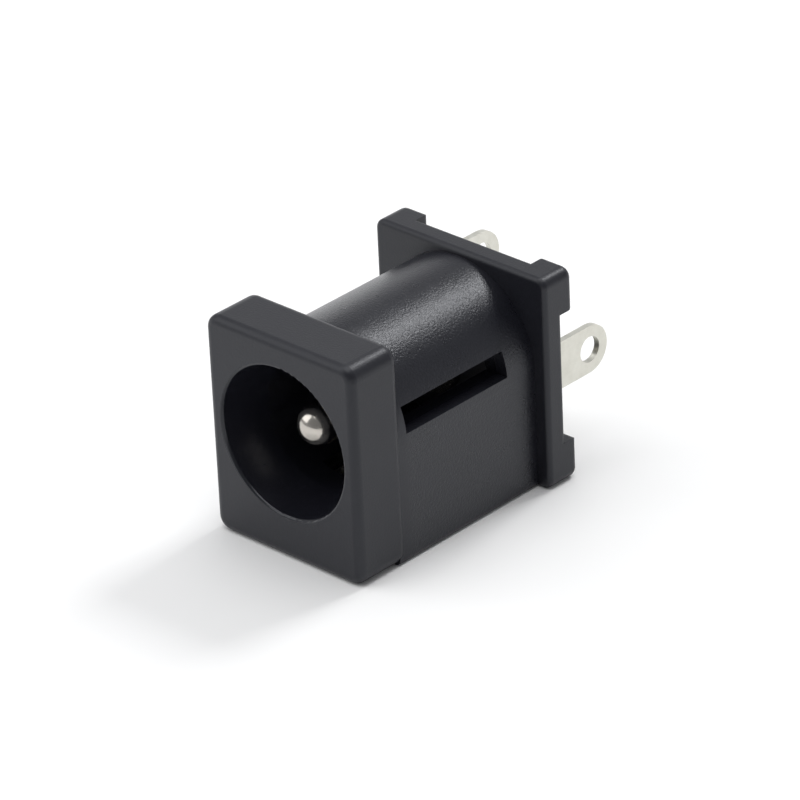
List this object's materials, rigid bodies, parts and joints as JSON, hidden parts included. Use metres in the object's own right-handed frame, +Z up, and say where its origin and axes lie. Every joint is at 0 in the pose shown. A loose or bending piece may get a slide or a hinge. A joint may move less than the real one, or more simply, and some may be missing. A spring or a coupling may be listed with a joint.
{
  "type": "dc barrel jack",
  "caption": "Black moulded DC barrel jack with an oblong front collar, round-topped body, rear flange with corner feet, and solder eyelets.",
  "frame": {"origin": "centre of the overall footprint, on the base the jack lies on", "axes": "+Z up from the base, +Y from the mouth towards the solder eyelets along the bore, +X to the right seen from the mouth"},
  "size_m": [0.0104, 0.0174, 0.011],
  "materials": {
    "black_moulding": "satin spark-eroded texture",
    "nickel_plate": "bright nickel plate over turned brass",
    "tin_plate": "satin tin plate over brass sheet"
  },
  "bodies": {
    "root": {"housing": "black_moulding", "rear_cover": "black_moulding", "centre_pin": "nickel_plate", "pin_terminal": "tin_plate", "sleeve_terminal": "tin_plate", "sleeve_leaf": "nickel_plate", "shunt_contact": "tin_plate"}
  },
  "joints": []
}
